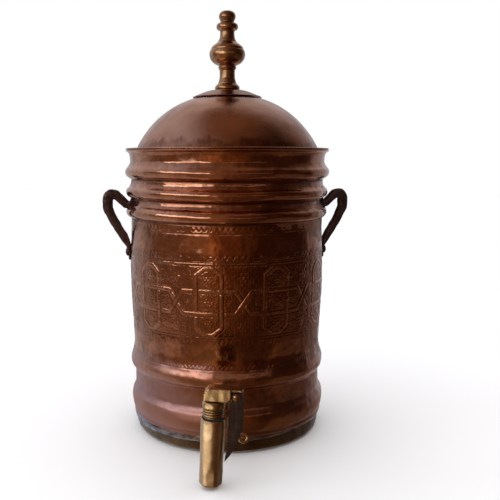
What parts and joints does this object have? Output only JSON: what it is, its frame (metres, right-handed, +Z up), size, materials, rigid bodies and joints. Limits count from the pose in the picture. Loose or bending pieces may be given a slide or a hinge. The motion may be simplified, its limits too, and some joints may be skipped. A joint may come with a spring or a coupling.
{
  "type": "copper water urn",
  "caption": "Ribbed copper water urn with a domed lift-off lid, turned brass finial, iron ear handles, a chased band and a brass nozzle tap with a drop lever.",
  "frame": {"origin": "middle of the whole footprint, on the surface that the urn stands on", "axes": "+Z up, the tap points along -Y, the handles lie close to X"},
  "size_m": [0.2652, 0.2916, 0.4502],
  "materials": {
    "copper_body": "hammered and chased copper, aged",
    "copper_lid": "dull aged copper",
    "tinned_base": "dull tinned copper",
    "solder": "soft tin solder",
    "brass": "worn cast brass",
    "iron": "dark forged iron",
    "rubber": "aged rubber"
  },
  "bodies": {
    "vessel": {"body_shell": "copper_body", "rove_right_front": "copper_body", "rove_right_back": "copper_body", "rove_right_tail": "copper_body", "rove_left_front": "copper_body", "rove_left_back": "copper_body", "rove_left_tail": "copper_body", "base_pan": "tinned_base", "base_solder": "solder", "foot_eyelet": "brass", "tap_body": "brass", "tap_bonnet": "brass", "tap_lock_nut": "brass", "handle_right": "iron", "handle_left": "iron", "rivet_right_front": "iron", "rivet_right_back": "iron", "rivet_right_tail": "iron", "rivet_left_front": "iron", "rivet_left_back": "iron", "rivet_left_tail": "iron", "tap_gasket": "rubber", "tap_inner_gasket": "rubber", "bonnet_seal": "rubber"},
    "lid": {"lid_dome": "copper_lid", "lid_skirt": "copper_lid", "lid_cap": "copper_lid", "finial": "brass", "finial_stud": "brass", "finial_washer": "brass", "finial_nut": "brass"},
    "tap_handle": {"tap_plug": "brass", "tap_head": "brass", "tap_lever": "iron", "lever_washer": "iron", "lever_screw": "brass"}
  },
  "joints": [
    {"name": "lid_lift", "type": "slide", "parent": "vessel", "child": "lid", "axis": [0, 0, 1], "range_m": [0, 0.12]},
    {"name": "tap_turn", "type": "hinge", "parent": "vessel", "child": "tap_handle", "pos_m": [0, -0.13517, 0.057], "axis": [-0.0436, 0, -0.999], "range_deg": [0, 90]}
  ]
}
